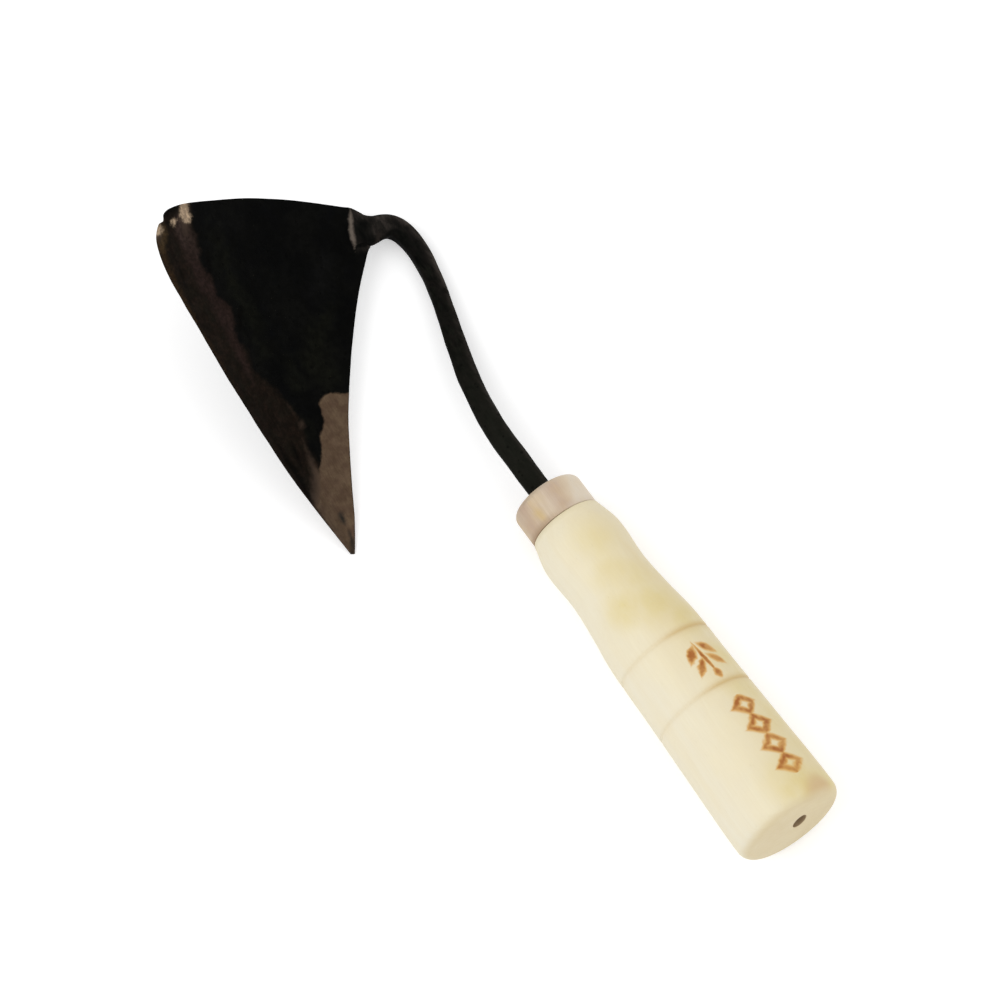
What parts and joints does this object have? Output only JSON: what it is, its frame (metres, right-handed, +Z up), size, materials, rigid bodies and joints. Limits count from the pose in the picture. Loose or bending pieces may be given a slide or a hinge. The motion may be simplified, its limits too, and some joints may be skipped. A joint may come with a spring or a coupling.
{
  "type": "korean hand hoe",
  "caption": "Short hand hoe for weeding: a dished, pointed forged blade on a bent neck, set by its tang in a turned wooden handle with a ferrule.",
  "frame": {"origin": "centre of the tool's box on the surface that it rests on, lying on its right side", "axes": "+X along the handle from the butt to the head, +Z up from the surface that the tool lies on, +Y towards the blade's side of the handle"},
  "size_m": [0.2568, 0.0806, 0.059],
  "materials": {
    "forged_steel": "black forge scale, worn brown and bare along the ground edge and the tip",
    "ferrule_steel": "satin drawn metal",
    "pale_wood": "bare turned wood, sanded smooth"
  },
  "bodies": {
    "root": {"forged_head": "forged_steel", "ferrule": "ferrule_steel", "handle": "pale_wood"}
  },
  "joints": []
}
